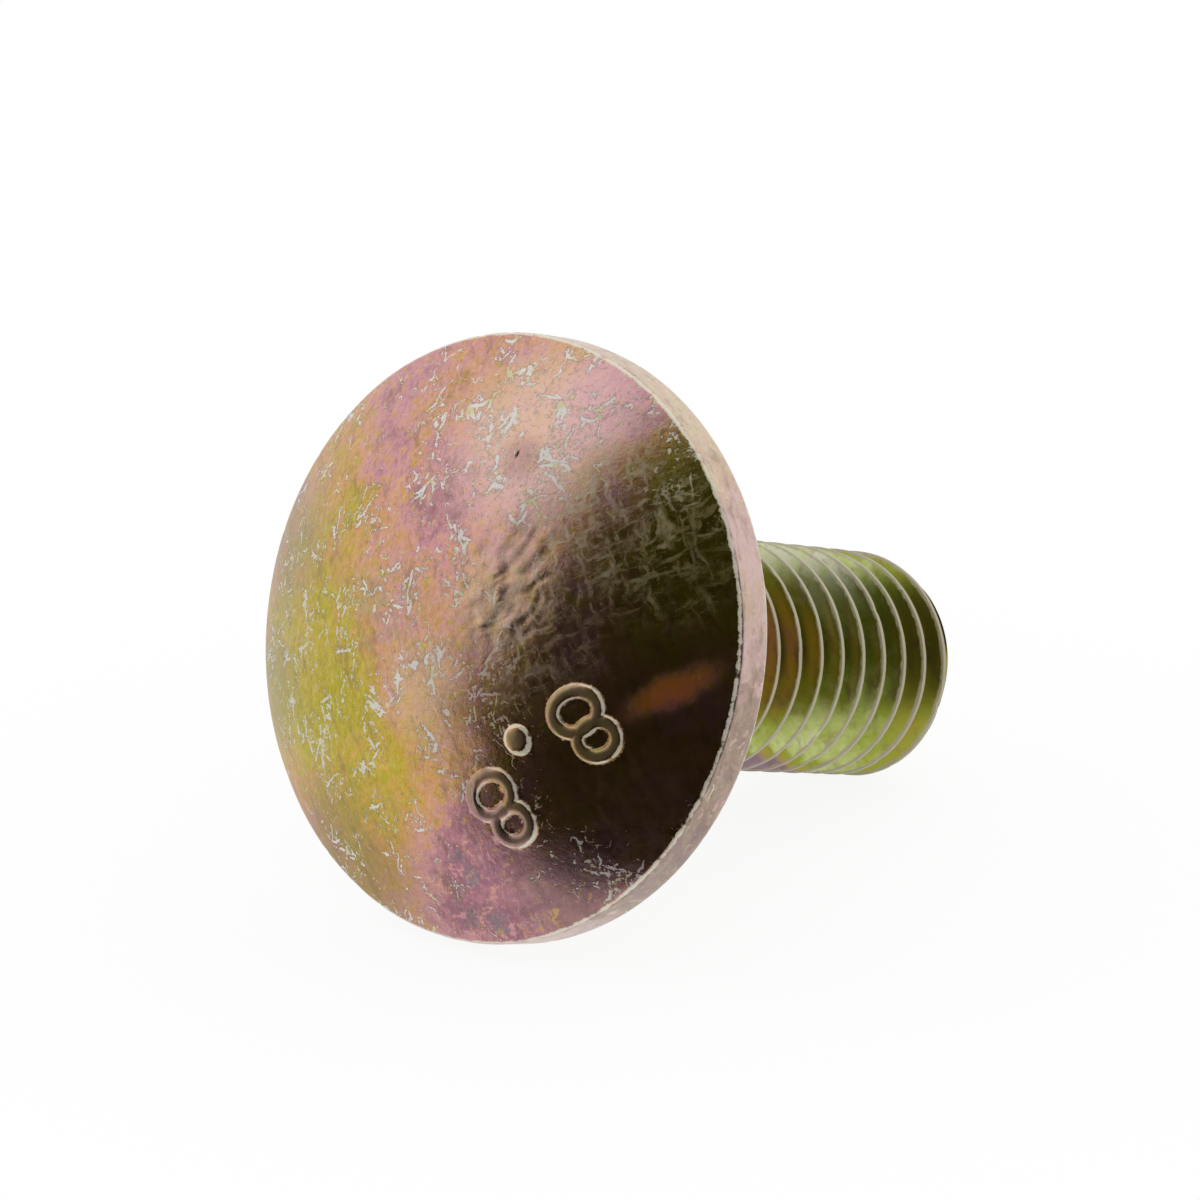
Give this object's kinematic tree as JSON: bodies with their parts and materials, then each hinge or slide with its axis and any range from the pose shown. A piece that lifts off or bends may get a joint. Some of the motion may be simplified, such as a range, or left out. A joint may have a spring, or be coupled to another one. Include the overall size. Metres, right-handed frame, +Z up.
{
  "type": "carriage bolt",
  "caption": "Carriage bolt with a low domed round head, a short square neck and a right-hand metric thread down to a chamfered tip.",
  "frame": {"origin": "centre of the bearing face under the head, on the bolt's axis", "axes": "+Z up as the bolt lies at rest on the rim of its head and the end of its thread; +Y level and across the bolt; the shank points along +X and slopes down by about 16.8 degrees; the surface that it lies on is at Z = -9.38 mm"},
  "size_m": [0.0251, 0.0196, 0.0192],
  "materials": {
    "yellow_zinc": "steel, zinc plated and yellow passivated, with an uneven gold, pink and green sheen, scratched and worn silver on edges and thread crests"
  },
  "bodies": {
    "root": {"carriage_bolt": "yellow_zinc"}
  },
  "joints": []
}
